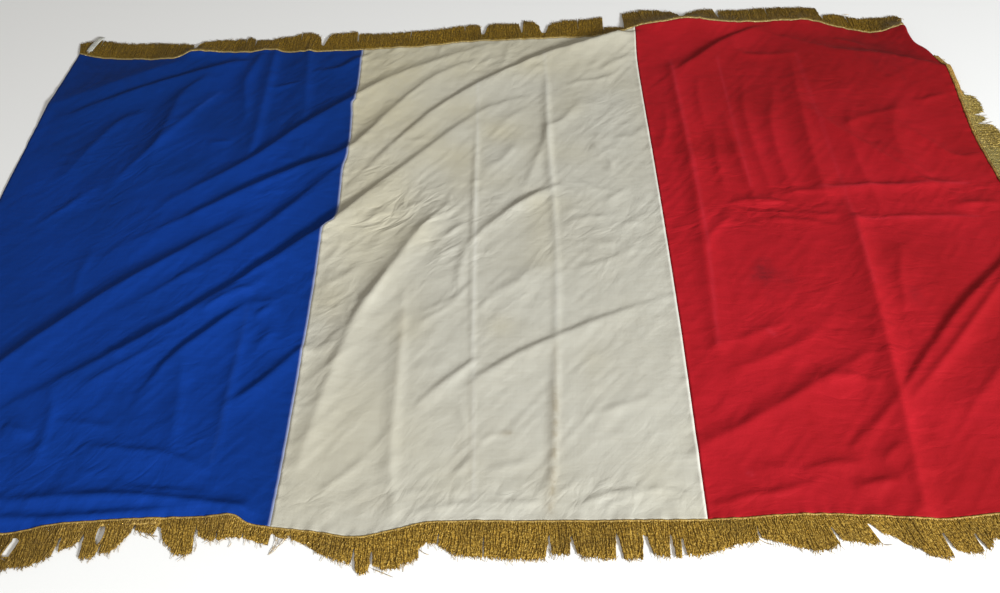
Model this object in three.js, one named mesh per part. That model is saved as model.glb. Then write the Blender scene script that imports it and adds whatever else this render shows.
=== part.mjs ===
// A tricolour parade flag with bullion fringe, lying spread out on a flat surface in the folds it was stored in.
//
// Three cloth panels are sewn side by side. A woven heading is sewn along the top, the fly and the bottom edge,
// and a skirt of twisted cords hangs from each heading. The hoist edge is a plain hem, with a short white tape
// sewn to its top corner.
//
// Millimetres, +Z up. The cloth is laid out in its own coordinates: u runs from the hoist to the fly, v from the
// bottom edge to the top edge, and z is the height above the surface. The whole flag is then moved so that the
// centre of its underside is the origin.
import * as THREE from "three";

// ---- driving dimensions ----
const clothHeight = 1000;
const clothThickness = 1.2;
const gap = 0.3; // between neighbouring pieces
const headingWidth = 7;
const headingThickness = 1.6;
const skirtThickness = 2.2;
const skirtRoot = 10; // the skirt's cords hang together down to here
const slit = 3; // width of the gap between two locks of the skirt
const fringedFlyHeight = 875; // above this the fly's fringe is torn away
const tapeStart = [9, 982];
const tapeFinish = [20, 1036];
const tapeWidth = 11;
const tapeThickness = 1;
const panelColumns = 18;
const panelRows = 32;
const pathStep = 12; // spacing of the points along a fold's crest
const leastFlank = 22; // no flank of a fold is narrower than the facets can show
const contactHeight = 0.8; // cloth lower than this rests on the surface

// ---- finishes ----
const finish = (color, roughness, metalness = 0) =>
  new THREE.MeshStandardMaterial({ color, roughness, metalness });
const blueCloth = finish(0x16388c, 0.65);
const ivoryCloth = finish(0xc9c4b0, 0.7);
const redCloth = finish(0xb01c26, 0.65);
const goldBraid = finish(0xa8823c, 0.5, 0.4);
const goldCord = finish(0x8a6a20, 0.45, 0.6);
const whiteTape = finish(0xd8d6cc, 0.8);

// A smooth function through a list of [position, value] points, level past both ends.
function through(points) {
  const slope = (i) => {
    const [a, b] = [points[Math.max(i - 1, 0)], points[Math.min(i + 1, points.length - 1)]];
    return (b[1] - a[1]) / (b[0] - a[0]);
  };
  return (at) => {
    if (at <= points[0][0]) return points[0][1];
    const i = points.findIndex((p) => p[0] > at) - 1;
    if (i < 0) return points.at(-1)[1];
    const [[a, from], [b, to]] = [points[i], points[i + 1]];
    const [span, t] = [b - a, (at - a) / (b - a)];
    const bend = THREE.MathUtils.smoothstep(t, 0, 1);
    const tangents = slope(i) * t * (1 - t) ** 2 - slope(i + 1) * t * t * (1 - t);
    return from + (to - from) * bend + span * tangents;
  };
}

// ---- the outline as it lies ----
// Hoist edge, the two seams and the fly edge, as u at each v.
const hoistEdge = through([[0, -6], [300, -12], [600, -16], [800, -16], [1000, -6]]);
const hoistSeam = through([
  [0, 499], [100, 501], [300, 502], [500, 502], [512, 506], [524, 518], [600, 518],
  [655, 517], [690, 521], [800, 517], [828, 515], [838, 519], [1000, 517],
]);
const flySeam = through([[0, 994], [100, 996], [300, 1000], [600, 1002], [900, 1002], [1000, 1007]]);
const flyEdge = through([
  [0, 1500], [300, 1506], [560, 1508], [700, 1506], [800, 1511], [870, 1510],
  [920, 1496], [950, 1480], [1000, 1474],
]);
// Bottom and top edges, as v at each u.
const bottomEdge = through([
  [0, -2], [190, -2], [250, 7], [350, 12], [425, 13], [455, 14], [472, 4], [500, -2],
  [550, -9], [600, -17], [640, -9], [680, 0], [800, -2], [1000, -5], [1100, -1],
  [1180, -5], [1250, -11], [1330, -5], [1500, -2],
]);
const topEdge = through([
  [-10, 990], [30, 975], [90, 964], [175, 956], [205, 970], [250, 972], [300, 968], [345, 972],
  [400, 966], [500, 969], [600, 970], [700, 981], [780, 983], [860, 984], [920, 984], [980, 992],
  [1010, 1000], [1050, 1004], [1100, 1008], [1160, 1004], [1250, 1002], [1320, 1000],
  [1380, 978], [1425, 960], [1474, 962],
]);

// ---- folds ----
// Each fold is a ridge along a crest of [u, v, height] points. Its far flank is on the left when walking along
// the crest, and its near flank on the right; both are the distance over which the ridge falls away.
const folds = [
  // the long diagonal ridges, from the hoist's lower half to the top edge
  { far: 14, near: 38, crest: [[20, 146, 3], [104, 250, 9], [206, 366, 10], [296, 448, 9], [392, 536, 3]] },
  { far: 14, near: 34, crest: [[220, 326, 3], [303, 392, 7], [383, 465, 8], [444, 538, 9], [517, 642, 6]] },
  {
    far: 11,
    near: 34,
    crest: [[120, 168, 2], [284, 288, 8], [383, 376, 9], [464, 455, 11], [515, 504, 13], [552, 554, 9],
      [651, 678, 5], [730, 766, 4], [790, 802, 2]],
  },
  {
    far: 13,
    near: 30,
    crest: [[200, 467, 2], [304, 536, 7], [374, 586, 10], [443, 632, 10], [522, 681, 8], [581, 777, 6],
      [640, 862, 5], [700, 910, 3]],
  },
  {
    far: 13,
    near: 32,
    crest: [[251, 566, 3], [364, 656, 9], [434, 736, 10], [522, 825, 8], [600, 892, 5], [740, 967, 3]],
  },
  {
    far: 8,
    near: 38,
    crest: [[530, 592, 3], [610, 716, 5], [660, 783, 5], [740, 857, 6], [840, 924, 9], [900, 946, 14],
      [975, 975, 18]],
  },
  // folds that fan out from the blue panel's top edge
  { far: 14, near: 34, crest: [[24, 794, 4], [106, 842, 9], [186, 886, 10], [294, 936, 8]] },
  { far: 42, near: 40, crest: [[-4, 832, 5], [66, 868, 9], [124, 905, 9], [184, 940, 8]] },
  { far: 24, near: 26, crest: [[202, 655, 3], [208, 740, 8], [217, 838, 9], [248, 892, 8]] },
  { far: 18, near: 16, crest: [[340, 770, 3], [330, 822, 7], [322, 880, 8], [335, 955, 7]] },
  { far: 7, near: 22, crest: [[360, 968, 7], [361, 860, 7], [362, 714, 5], [358, 640, 3]] },
  { far: 9, near: 24, crest: [[421, 965, 6], [428, 872, 6], [434, 795, 4], [438, 690, 3]] },
  { far: 16, near: 20, crest: [[72, 636, 3], [98, 713, 5], [124, 768, 6], [152, 796, 4]] },
  // shorter folds in the lower half of the blue panel
  { far: 9, near: 26, crest: [[302, 196, 3], [333, 255, 7], [383, 310, 9], [414, 348, 4]] },
  { far: 7, near: 20, crest: [[415, 172, 2], [452, 204, 6], [501, 263, 4]] },
  { far: 8, near: 14, crest: [[150, 40, 4], [302, 44, 7], [402, 33, 8], [463, 24, 7]] },
  // curved folds of the middle panel
  { far: 15, near: 20, crest: [[520, 88, 3], [546, 232, 5], [576, 334, 6], [632, 458, 7], [660, 510, 4]] },
  { far: 8, near: 15, crest: [[702, 382, 2], [722, 459, 4], [800, 544, 4], [845, 574, 3]] },
  { far: 6, near: 24, crest: [[735, 208, 3], [800, 252, 4], [900, 302, 3], [1000, 343, 1]] },
  // storage creases, square to the flag's length
  { far: 13, near: 9, crest: [[640, 15, 2], [630, 90, 3], [630, 250, 3], [628, 380, 1]] },
  { far: 8, near: 5, crest: [[818, 20, 2], [828, 130, 3], [843, 430, 2], [840, 700, 4], [845, 940, 2]] },
  { far: 12, near: 16, crest: [[1043, 250, 3], [1057, 560, 5], [1058, 700, 6], [1058, 878, 5]] },
  { far: 24, near: 12, crest: [[1236, 5, 5], [1255, 200, 8], [1276, 480, 8]] },
  // the broadest pleats in the upper half of the red panel
  { far: 10, near: 13, crest: [[1142, 520, 2], [1134, 620, 4], [1128, 730, 2]] },
  { far: 16, near: 16, crest: [[1246, 530, 3], [1248, 640, 5], [1256, 780, 5], [1266, 900, 3]] },
  { far: 30, near: 40, crest: [[1380, 600, 3], [1384, 680, 7], [1404, 740, 5]] },
  // folds of the red panel
  { far: 7, near: 20, crest: [[1180, 88, 2], [1244, 152, 5], [1366, 296, 6], [1436, 364, 6], [1500, 430, 5]] },
  { far: 14, near: 28, crest: [[1000, 94, 3], [1050, 118, 5], [1150, 178, 6], [1250, 241, 3]] },
  { far: 12, near: 40, crest: [[1060, 860, 5], [1098, 892, 8], [1157, 946, 9], [1220, 984, 8]] },
  { far: 16, near: 16, crest: [[1436, 510, 3], [1356, 612, 7], [1278, 718, 7], [1238, 796, 3]] },
  // the fly's top corner stands up in a soft billow
  { far: 28, near: 80, crest: [[1270, 950, 6], [1340, 905, 10], [1420, 878, 14], [1512, 835, 14]] },
  { far: 26, near: 30, crest: [[1440, 985, 8], [1474, 955, 18], [1500, 905, 18], [1510, 860, 10]] },
  // the top edge is lifted in short humps
  { far: 24, near: 24, crest: [[205, 975, 12], [260, 985, 9], [345, 985, 10]] },
  {
    far: 34,
    near: 34,
    crest: [[975, 995, 4], [1000, 1000, 8], [1100, 1008, 18], [1180, 1008, 10], [1330, 1004, 9]],
  },
];

// The crest of a fold as closely spaced points with smooth heights.
function crestPoints(crest) {
  const curve = new THREE.CatmullRomCurve3(crest.map((p) => new THREE.Vector3(...p)), false, "centripetal");
  return curve.getSpacedPoints(Math.ceil(curve.getLength() / pathStep));
}
const ridges = folds.map(({ far, near, crest }) => ({
  far: Math.max(far, leastFlank),
  near: Math.max(near, leastFlank),
  line: crestPoints(crest),
}));

// How much one ridge lifts the cloth at (u, v).
function lift({ far, near, line }, u, v) {
  let nearest = { distance: Infinity };
  for (let i = 1; i < line.length; i++) {
    const [a, b] = [line[i - 1], line[i]];
    const [du, dv] = [b.x - a.x, b.y - a.y];
    const along = ((u - a.x) * du + (v - a.y) * dv) / (du * du + dv * dv);
    const t = THREE.MathUtils.clamp(along, 0, 1);
    const distance = Math.hypot(u - a.x - t * du, v - a.y - t * dv);
    if (distance < nearest.distance) {
      const leftOfCrest = du * (v - a.y) - dv * (u - a.x) > 0;
      nearest = { distance, height: THREE.MathUtils.lerp(a.z, b.z, t), flank: leftOfCrest ? far : near };
    }
  }
  return nearest.height * Math.exp(-((nearest.distance / nearest.flank) ** 1.5));
}

// The height of the cloth's underside at (u, v). Overlapping ridges merge instead of piling up.
function clothFloor(u, v) {
  const total = Math.cbrt(ridges.reduce((sum, ridge) => sum + lift(ridge, u, v) ** 3, 0));
  return Math.max(0, total - contactHeight);
}

// ---- solids ----
// A closed slab on a grid of points: rows[j][i] is an underside point, and the top is the same grid lifted by
// the thickness. Rows run across the grid to the left of their own direction.
function slab(rows, thickness) {
  const [rowCount, columnCount] = [rows.length, rows[0].length];
  const position = rows.flat().flatMap((p) => [p.x, p.y, p.z]);
  position.push(...rows.flat().flatMap((p) => [p.x, p.y, p.z + thickness]));
  const under = (j, i) => j * columnCount + i;
  const over = (j, i) => under(j, i) + rowCount * columnCount;
  const index = [];
  const quad = (a, b, c, d) => index.push(a, b, c, a, c, d);
  for (let j = 0; j + 1 < rowCount; j++) {
    for (let i = 0; i + 1 < columnCount; i++) {
      quad(over(j, i), over(j, i + 1), over(j + 1, i + 1), over(j + 1, i));
      index.push(under(j, i), under(j + 1, i + 1), under(j, i + 1));
      index.push(under(j, i), under(j + 1, i), under(j + 1, i + 1));
    }
    const last = columnCount - 1;
    quad(under(j + 1, 0), under(j, 0), over(j, 0), over(j + 1, 0));
    quad(under(j, last), under(j + 1, last), over(j + 1, last), over(j, last));
  }
  for (let i = 0; i + 1 < columnCount; i++) {
    const last = rowCount - 1;
    quad(under(0, i), under(0, i + 1), over(0, i + 1), over(0, i));
    quad(under(last, i + 1), under(last, i), over(last, i), over(last, i + 1));
  }
  const geometry = new THREE.BufferGeometry();
  geometry.setAttribute("position", new THREE.Float32BufferAttribute(position, 3));
  geometry.setIndex(index);
  geometry.computeVertexNormals();
  return geometry;
}

const flag = new THREE.Group();
function add(name, geometry, material) {
  const mesh = new THREE.Mesh(geometry, material);
  mesh.name = name;
  flag.add(mesh);
}

// ---- cloth panels ----
// The grid of underside points between two side lines, from the bottom edge to the top edge.
function panelGrid(leftLine, rightLine) {
  const rows = [];
  for (let j = 0; j <= panelRows; j++) {
    const level = j / panelRows;
    const [left, right] = [leftLine(level * clothHeight), rightLine(level * clothHeight)];
    const row = [];
    for (let i = 0; i <= panelColumns; i++) {
      const u = THREE.MathUtils.lerp(left, right, i / panelColumns);
      const v = THREE.MathUtils.lerp(bottomEdge(u), topEdge(u), level);
      row.push(new THREE.Vector3(u, v, clothFloor(u, v)));
    }
    rows.push(row);
  }
  return rows;
}
const beside = (line, offset) => (v) => line(v) + offset;
const bluePanel = panelGrid(hoistEdge, beside(hoistSeam, -gap / 2));
const whitePanel = panelGrid(beside(hoistSeam, gap / 2), beside(flySeam, -gap / 2));
const redPanel = panelGrid(beside(flySeam, gap / 2), flyEdge);
add("blue_panel", slab(bluePanel, clothThickness), blueCloth);
add("white_panel", slab(whitePanel, clothThickness), ivoryCloth);
add("red_panel", slab(redPanel, clothThickness), redCloth);

// ---- fringe ----
// Locks of cord, as [start, end, tip start, tip end, length at start, length at end]: where the lock leaves the
// heading, where its tips lie, and how far they reach, along u for the top and bottom and along v for the fly.
const bottomLocks = [
  [-6, 60, -12, 54, 46, 50], [60, 130, 58, 124, 50, 45], [130, 200, 130, 198, 46, 50],
  [200, 262, 205, 256, 48, 46], [262, 290, 262, 284, 35, 28], [290, 306, 289, 301, 50, 48],
  [306, 345, 305, 330, 45, 30], [345, 375, 343, 372, 16, 26], [375, 425, 385, 413, 38, 48],
  [425, 462, 426, 460, 27, 32], [462, 500, 463, 498, 22, 22], [500, 530, 504, 530, 20, 17],
  [530, 600, 538, 598, 19, 33], [600, 618, 602, 615, 38, 45], [618, 665, 621, 670, 38, 44],
  [665, 690, 675, 690, 26, 29], [690, 740, 696, 742, 35, 45], [740, 815, 744, 811, 46, 49],
  [815, 838, 820, 837, 44, 43], [838, 891, 846, 891, 42, 48], [891, 921, 898, 917, 48, 47],
  [921, 951, 929, 948, 42, 45], [951, 960, 954, 959, 45, 45], [960, 1050, 965, 1045, 45, 33],
  [1050, 1130, 1054, 1128, 30, 45], [1130, 1180, 1133, 1175, 42, 35], [1180, 1218, 1187, 1217, 21, 37],
  [1218, 1255, 1223, 1252, 40, 46], [1255, 1290, 1259, 1286, 42, 41], [1290, 1350, 1294, 1346, 40, 47],
  [1350, 1420, 1355, 1419, 48, 44], [1420, 1470, 1424, 1480, 46, 48], [1470, 1500, 1484, 1530, 48, 40],
];
const topLocks = [
  [-10, 60, -14, 58, 40, 46], [60, 130, 62, 130, 46, 46], [130, 205, 132, 200, 46, 36],
  [205, 300, 212, 300, 30, 40], [300, 345, 303, 342, 44, 36], [345, 400, 347, 400, 38, 52],
  [400, 443, 402, 430, 52, 44], [443, 505, 456, 503, 44, 50], [505, 600, 507, 600, 44, 46],
  [600, 733, 602, 723, 46, 50], [733, 805, 744, 803, 48, 46], [805, 844, 808, 832, 54, 44],
  [844, 900, 858, 902, 42, 50], [900, 948, 904, 952, 50, 50], [948, 992, 952, 986, 18, 18],
  [992, 1040, 990, 1040, 44, 50], [1040, 1098, 1042, 1088, 46, 38], [1098, 1163, 1108, 1160, 34, 48],
  [1163, 1250, 1166, 1250, 44, 46], [1250, 1330, 1252, 1320, 46, 46], [1330, 1360, 1328, 1350, 42, 38],
  [1360, 1385, 1360, 1383, 40, 36], [1385, 1440, 1390, 1442, 36, 42], [1440, 1474, 1446, 1480, 42, 40],
];
const flyLocks = [
  [-2, 30, -30, 18, 42, 47], [30, 100, 24, 96, 48, 45], [100, 180, 99, 176, 45, 48], [180, 250, 180, 246, 48, 44],
  [250, 330, 251, 328, 45, 48], [330, 400, 332, 396, 48, 44], [400, 480, 400, 476, 45, 48],
  [480, 560, 480, 558, 48, 46], [560, 640, 561, 638, 46, 40], [640, 692, 640, 686, 40, 38],
  [692, 715, 696, 708, 30, 32], [715, 768, 724, 764, 32, 32], [768, 868, 768, 866, 17, 12],
];

// A point moved away from the cloth by a distance, and along the edge by a slide.
const bottomSide = (p, distance, slide = 0) => new THREE.Vector3(p.x + slide, p.y - distance, p.z);
const topSide = (p, distance, slide = 0) => new THREE.Vector3(p.x + slide, p.y + distance, p.z);
const flySide = (p, distance, slide = 0) => new THREE.Vector3(p.x + distance, p.y + slide, p.z);

// A heading sewn along an edge of the cloth, and the skirt of cords that hangs from it. An edge is a list of the
// cloth's own points in the order of their positions, and along reads a point's position.
function trim(name, edge, along, outward, locks) {
  const isTop = outward === topSide;
  const slabOf = (rows, thickness) => slab(isTop ? rows.reverse() : rows, thickness);
  const headingRows = [gap + headingWidth, gap].map((distance) => edge.map((p) => outward(p, distance)));
  add(`${name}_heading`, slabOf(headingRows, headingThickness), goldBraid);

  const root = 2 * gap + headingWidth;
  const skirtRows = [[], []]; // tips and roots
  const station = (position, reach, slide) => {
    const i = THREE.MathUtils.clamp(edge.findIndex((p) => along(p) > position), 1, edge.length - 1);
    const t = (position - along(edge[i - 1])) / (along(edge[i]) - along(edge[i - 1]));
    const start = edge[i - 1].clone().lerp(edge[i], t);
    skirtRows[0].push(outward(start, root + reach, slide).setZ(0));
    skirtRows[1].push(outward(start, root));
  };
  for (const [start, end, tipStart, tipEnd, lengthStart, lengthEnd] of locks) {
    const between = edge.map(along).filter((position) => position > start + 3 && position < end - 3);
    for (const position of [start + slit / 2, ...between, end - slit / 2]) {
      const t = (position - start) / (end - start);
      const slide = THREE.MathUtils.lerp(tipStart - start, tipEnd - end, t);
      station(position, THREE.MathUtils.lerp(lengthStart, lengthEnd, t) - headingWidth, slide);
    }
    if (end !== locks.at(-1)[1]) station(end, skirtRoot, 0);
  }
  add(`${name}_skirt`, slabOf(skirtRows, skirtThickness), goldCord);
}

const alongU = (p) => p.x;
const alongV = (p) => p.y;
const apart = (p, i, line) => i === 0 || p.distanceTo(line[i - 1]) > 2 * gap;
const panels = [bluePanel, whitePanel, redPanel];
const bottomLine = panels.flatMap((rows) => rows[0]).filter(apart);
const topLine = panels.flatMap((rows) => rows.at(-1)).filter(apart);
const flyLine = redPanel.map((row) => row.at(-1)).filter((p) => p.y < fringedFlyHeight);
trim("bottom", bottomLine, alongU, bottomSide, bottomLocks);
trim("top", topLine, alongU, topSide, topLocks);
trim("fly", flyLine, alongV, flySide, flyLocks);

// ---- tape end ----
// It is sewn on at the hoist's top corner and lies slantwise over the cloth, the heading and the skirt.
function tapeEnd([fromU, fromV], [toU, toV], width) {
  const run = new THREE.Vector3(toU - fromU, toV - fromV, 0);
  const across = new THREE.Vector3(run.y, -run.x, 0).setLength(width / 2);
  const row = (share, height) => {
    const centre = new THREE.Vector3(fromU, fromV, height).addScaledVector(run, share);
    return [centre.clone().sub(across), centre.clone().add(across)];
  };
  const corner = clothFloor(fromU, fromV);
  const overHeading = corner + headingThickness + gap;
  const overSkirt = corner + skirtThickness + gap;
  return slab([row(0, overHeading), row(0.18, overSkirt), row(1, overSkirt)], tapeThickness);
}
add("hoist_tape", tapeEnd(tapeStart, tapeFinish, tapeWidth), whiteTape);

// ---- placing ----
const extent = new THREE.Box3().setFromObject(flag);
const centre = extent.getCenter(new THREE.Vector3());
flag.position.set(-centre.x, -centre.y, -extent.min.z);

export default flag;
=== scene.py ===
import math

import bpy
import numpy as np
from mathutils import Matrix, Vector


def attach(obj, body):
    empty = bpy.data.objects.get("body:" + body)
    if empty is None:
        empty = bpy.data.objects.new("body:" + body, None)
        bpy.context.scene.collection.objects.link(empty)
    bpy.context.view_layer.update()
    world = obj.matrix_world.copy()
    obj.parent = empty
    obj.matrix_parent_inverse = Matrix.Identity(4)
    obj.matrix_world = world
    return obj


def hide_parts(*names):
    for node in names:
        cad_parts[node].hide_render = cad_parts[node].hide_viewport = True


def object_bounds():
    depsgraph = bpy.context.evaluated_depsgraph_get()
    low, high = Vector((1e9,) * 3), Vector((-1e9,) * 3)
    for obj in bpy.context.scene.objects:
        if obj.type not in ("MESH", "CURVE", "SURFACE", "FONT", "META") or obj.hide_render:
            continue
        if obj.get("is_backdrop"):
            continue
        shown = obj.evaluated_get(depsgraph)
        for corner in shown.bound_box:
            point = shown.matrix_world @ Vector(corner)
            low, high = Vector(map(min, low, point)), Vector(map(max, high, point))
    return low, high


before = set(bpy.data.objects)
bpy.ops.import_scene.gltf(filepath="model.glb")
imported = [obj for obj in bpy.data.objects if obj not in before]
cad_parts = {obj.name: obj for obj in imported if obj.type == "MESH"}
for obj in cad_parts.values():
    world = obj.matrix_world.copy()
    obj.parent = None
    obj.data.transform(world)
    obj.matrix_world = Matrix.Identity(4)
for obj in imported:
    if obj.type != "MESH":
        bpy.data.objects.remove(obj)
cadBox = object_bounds()

# Sizes on the cloth are in millimetres: u from the hoist to the fly, v from the bottom edge to the top.
mm = 0.001
frameOriginOnCloth = (769.79, 497.0)


def pick(*pieces):
    # only these pieces selected, the first one active
    bpy.ops.object.select_all(action="DESELECT")
    for piece in pieces:
        piece.select_set(True)
    bpy.context.view_layer.objects.active = pieces[0]


def thicken(piece, thickness, offset=-1):
    # the active piece made solid, over its surface at offset 1 and under it at -1
    solidify = piece.modifiers.new("thickness", "SOLIDIFY")
    solidify.thickness = thickness * mm
    solidify.offset = offset
    bpy.ops.object.modifier_apply(modifier=solidify.name)


def enter(piece, node=None):
    # the piece takes the place of a CAD node, or is an extra without one
    if node:
        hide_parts(node)
    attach(piece, "root")


# The camera stands in front of the middle panel and looks down at the flag.
view = {"place": (0.0302, -1.087, 0.998), "turn": -2.33, "down": 46.7, "roll": -3.4, "lens": 36}


def placeCamera():
    turn, down, roll = (math.radians(view[key]) for key in ("turn", "down", "roll"))
    ahead = Vector((math.sin(turn) * math.cos(down), math.cos(turn) * math.cos(down), -math.sin(down)))
    level = Vector((math.cos(turn), -math.sin(turn), 0))
    upright = level.cross(ahead)
    right = level * math.cos(roll) + upright * math.sin(roll)
    up = upright * math.cos(roll) - level * math.sin(roll)
    bpy.ops.object.camera_add(location=view["place"])
    camera = bpy.context.object
    camera.name = "camera"
    camera.rotation_euler = Matrix((right, up, -ahead)).transposed().to_euler()
    camera.data.sensor_width = 36
    camera.data.lens = view["lens"]
    bpy.context.scene.camera = camera


placeCamera()
print("camera placed")


def through(points):
    # a smooth function through [position, value] points, level past both ends
    at, value = (np.array(column, float) for column in zip(*points))
    slope = np.empty(len(at))
    slope[1:-1] = (value[2:] - value[:-2]) / (at[2:] - at[:-2])
    slope[0] = (value[1] - value[0]) / (at[1] - at[0])
    slope[-1] = (value[-1] - value[-2]) / (at[-1] - at[-2])

    def curve(position):
        x = np.clip(position, at[0], at[-1])
        i = np.clip(np.searchsorted(at, x, side="right") - 1, 0, len(at) - 2)
        span = at[i + 1] - at[i]
        t = (x - at[i]) / span
        blend = t * t * (3 - 2 * t)
        tangents = slope[i] * t * (1 - t) ** 2 - slope[i + 1] * t * t * (1 - t)
        return value[i] + (value[i + 1] - value[i]) * blend + span * tangents

    return curve


outline = {
    "hoist": through([(0, -6), (300, -12), (600, -16), (800, -16), (1000, -6)]),
    "hoistSeam": through([
        (0, 499), (100, 501), (300, 502), (500, 502), (512, 506), (524, 518), (600, 518),
        (655, 517), (690, 521), (800, 517), (828, 515), (838, 519), (1000, 517)]),
    "flySeam": through([(0, 994), (100, 996), (300, 1000), (600, 1002), (900, 1002), (1000, 1007)]),
    "fly": through([
        (0, 1500), (300, 1506), (560, 1508), (700, 1506), (800, 1511), (870, 1510),
        (920, 1496), (950, 1480), (1000, 1474)]),
    "bottom": through([
        (0, -2), (190, -2), (250, 7), (350, 12), (425, 13), (455, 14), (472, 4), (500, -2),
        (550, -9), (600, -17), (640, -9), (680, 0), (800, -2), (1000, -5), (1100, -1),
        (1180, -5), (1250, -11), (1330, -5), (1500, -2)]),
    "top": through([
        (-10, 990), (30, 975), (90, 964), (175, 956), (205, 970), (250, 972), (300, 968), (345, 972),
        (400, 966), (500, 969), (600, 970), (700, 981), (780, 983), (860, 984), (920, 984), (980, 992),
        (1010, 1000), (1050, 1004), (1100, 1008), (1160, 1004), (1250, 1002), (1320, 1000),
        (1380, 978), (1425, 960), (1474, 962)]),
}

# Main folds as (far, near, crest): the widths of the flanks left and right of the crest as it is
# walked, and the crest's points as (u, v, height).
mainFolds = [
    # long diagonal ridges, from the hoist's lower half to the top edge
    (14, 38, [(20, 146, 3), (104, 250, 9), (206, 366, 10), (296, 448, 9), (392, 536, 3)]),
    (14, 34, [(220, 326, 3), (303, 392, 7), (383, 465, 8), (444, 538, 9), (517, 642, 6)]),
    (11, 34, [(120, 168, 2), (284, 288, 8), (383, 376, 9), (464, 455, 11), (515, 504, 13), (552, 554, 9),
             (651, 678, 5), (730, 766, 4), (790, 802, 2)]),
    (13, 30, [(200, 467, 2), (304, 536, 7), (374, 586, 10), (443, 632, 10), (522, 681, 8), (581, 777, 6),
              (640, 862, 5), (700, 910, 3)]),
    (13, 32, [(251, 566, 3), (364, 656, 9), (434, 736, 10), (522, 825, 8), (600, 892, 5), (740, 967, 3)]),
    (8, 38, [(530, 592, 3), (610, 716, 5), (660, 783, 5), (740, 857, 6), (840, 924, 9), (900, 946, 14),
             (975, 975, 18)]),
    # folds that fan out from the blue panel's top edge
    (14, 34, [(24, 794, 4), (106, 842, 9), (186, 886, 10), (294, 936, 8)]),
    (42, 40, [(-4, 832, 5), (66, 868, 9), (124, 905, 9), (184, 940, 8)]),
    (24, 26, [(202, 655, 3), (208, 740, 8), (217, 838, 9), (248, 892, 8)]),
    (18, 16, [(340, 770, 3), (330, 822, 7), (322, 880, 8), (335, 955, 7)]),
    (7, 22, [(360, 968, 7), (361, 860, 7), (362, 714, 5), (358, 640, 3)]),
    (9, 24, [(421, 965, 6), (428, 872, 6), (434, 795, 4), (438, 690, 3)]),
    (9, 22, [(440, 903, 3), (482, 909, 6), (512, 938, 5)]),
    (16, 20, [(72, 636, 3), (98, 713, 5), (124, 768, 6), (152, 796, 4)]),
    # shorter folds in the lower half of the blue panel
    (9, 26, [(302, 196, 3), (333, 255, 7), (383, 310, 9), (414, 348, 4)]),
    (7, 20, [(415, 172, 2), (452, 204, 6), (501, 263, 4)]),
    (8, 14, [(150, 40, 4), (302, 44, 7), (402, 33, 8), (463, 24, 7)]),
    (8, 9, [(176, 18, 5), (240, 15, 6), (330, 20, 6), (420, 27, 4)]),
    # curved folds of the middle panel
    (15, 20, [(520, 88, 3), (546, 232, 5), (576, 334, 6), (632, 458, 7), (660, 510, 4)]),
    (8, 15, [(702, 382, 2), (722, 459, 4), (800, 544, 4), (845, 574, 3)]),
    (6, 24, [(735, 208, 3), (800, 252, 4), (900, 302, 3), (1000, 343, 1)]),
    (6, 14, [(660, 168, 2), (690, 200, 3), (726, 233, 3)]),
    # storage creases, square to the flag's length
    (13, 9, [(640, 15, 2), (630, 90, 3), (630, 250, 3), (628, 380, 1)]),
    (5, 4, [(730, 20, 1), (725, 300, 2), (723, 500, 3), (726, 760, 2), (728, 860, 1)]),
    (8, 5, [(818, 20, 2), (828, 130, 3), (843, 430, 2), (840, 700, 4), (845, 940, 2)]),
    (12, 16, [(1043, 250, 3), (1057, 560, 5), (1058, 700, 6), (1058, 878, 5)]),
    (24, 12, [(1236, 5, 5), (1255, 200, 8), (1276, 480, 8)]),
    # pleats in the upper half of the red panel
    (9, 10, [(1102, 550, 1), (1099, 620, 3), (1104, 700, 1)]),
    (10, 13, [(1142, 520, 2), (1134, 620, 4), (1128, 730, 2)]),
    (10, 12, [(1168, 560, 2), (1162, 650, 3), (1162, 750, 3), (1176, 850, 1)]),
    (12, 16, [(1203, 530, 2), (1195, 620, 4), (1200, 720, 4), (1222, 810, 2)]),
    (16, 16, [(1246, 530, 3), (1248, 640, 5), (1256, 780, 5), (1266, 900, 3)]),
    (14, 18, [(1320, 500, 2), (1312, 600, 4), (1316, 680, 4), (1336, 760, 2)]),
    (30, 40, [(1380, 600, 3), (1384, 680, 7), (1404, 740, 5)]),
    # folds of the red panel
    (7, 20, [(1180, 88, 2), (1244, 152, 5), (1366, 296, 6), (1436, 364, 6), (1500, 430, 5)]),
    (14, 28, [(1000, 94, 3), (1050, 118, 5), (1150, 178, 6), (1250, 241, 3)]),
    (12, 40, [(1060, 860, 5), (1098, 892, 8), (1157, 946, 9), (1220, 984, 8)]),
    (16, 16, [(1436, 510, 3), (1356, 612, 7), (1278, 718, 7), (1238, 796, 3)]),
    # the fly's top corner stands up in a soft billow
    (28, 80, [(1270, 950, 6), (1340, 905, 10), (1420, 878, 14), (1512, 835, 14)]),
    (26, 30, [(1440, 985, 8), (1474, 955, 18), (1500, 905, 18), (1510, 860, 10)]),
    # the top edge is lifted in short humps
    (24, 24, [(205, 975, 12), (260, 985, 9), (345, 985, 10)]),
    (34, 34, [(975, 995, 4), (1000, 1000, 8), (1100, 1008, 18), (1180, 1008, 10), (1330, 1004, 9)]),
]

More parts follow.
